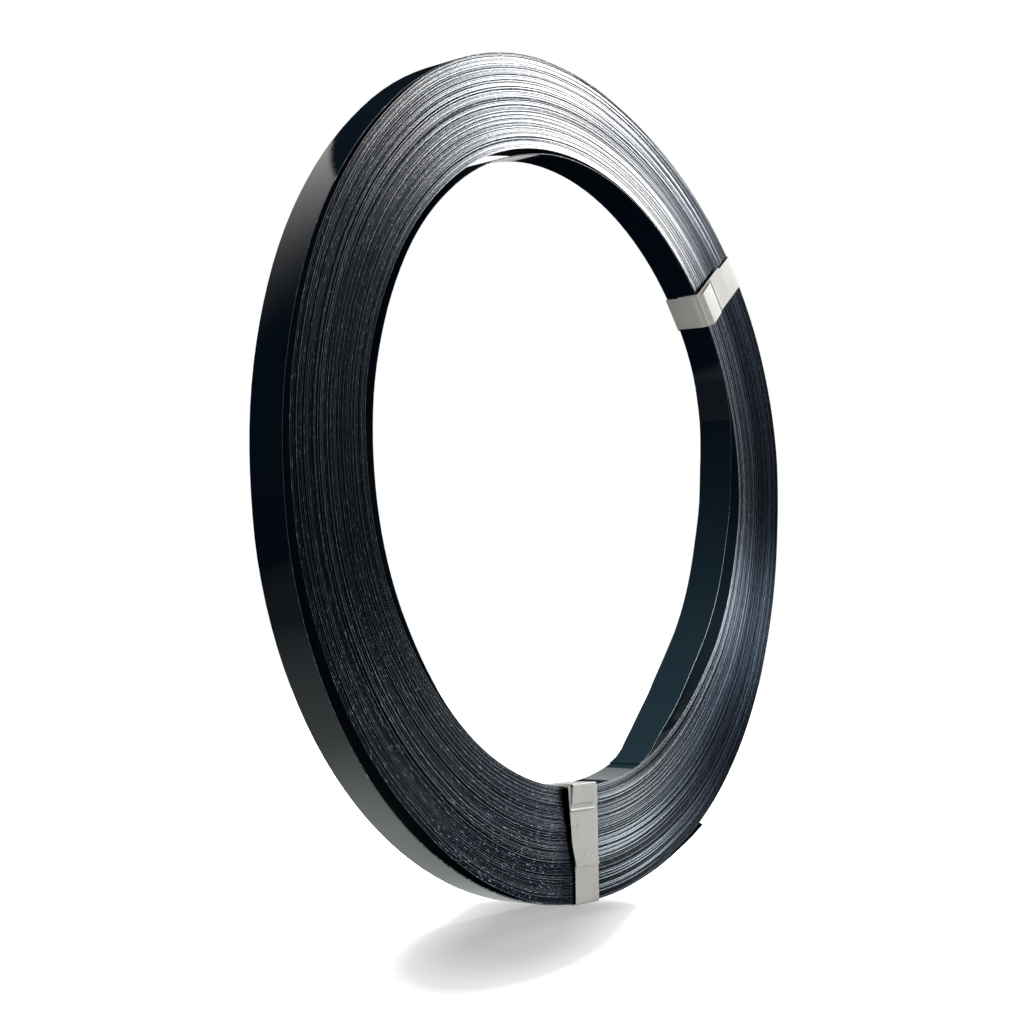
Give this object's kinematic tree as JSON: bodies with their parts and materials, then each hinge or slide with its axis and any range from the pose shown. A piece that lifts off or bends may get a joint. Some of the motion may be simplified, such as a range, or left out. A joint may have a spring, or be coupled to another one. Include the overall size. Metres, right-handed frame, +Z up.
{
  "type": "roll of steel strapping",
  "caption": "Flat coil of dark lacquered steel strap wound on itself round an open bore, standing on its rim and held by thin steel ties.",
  "frame": {"origin": "centre of the coil's bore, half way through its depth", "axes": "+Z up, the coil's axis along Y, its front face with the ties' overlapped ends towards -Y"},
  "size_m": [0.5355, 0.0309, 0.5361],
  "materials": {
    "strap": "blued and lacquered steel, semi-gloss",
    "tie": "bare bright steel, satin"
  },
  "bodies": {
    "root": {"strap_coil": "strap", "bottom_tie": "tie", "upper_tie": "tie"}
  },
  "joints": []
}
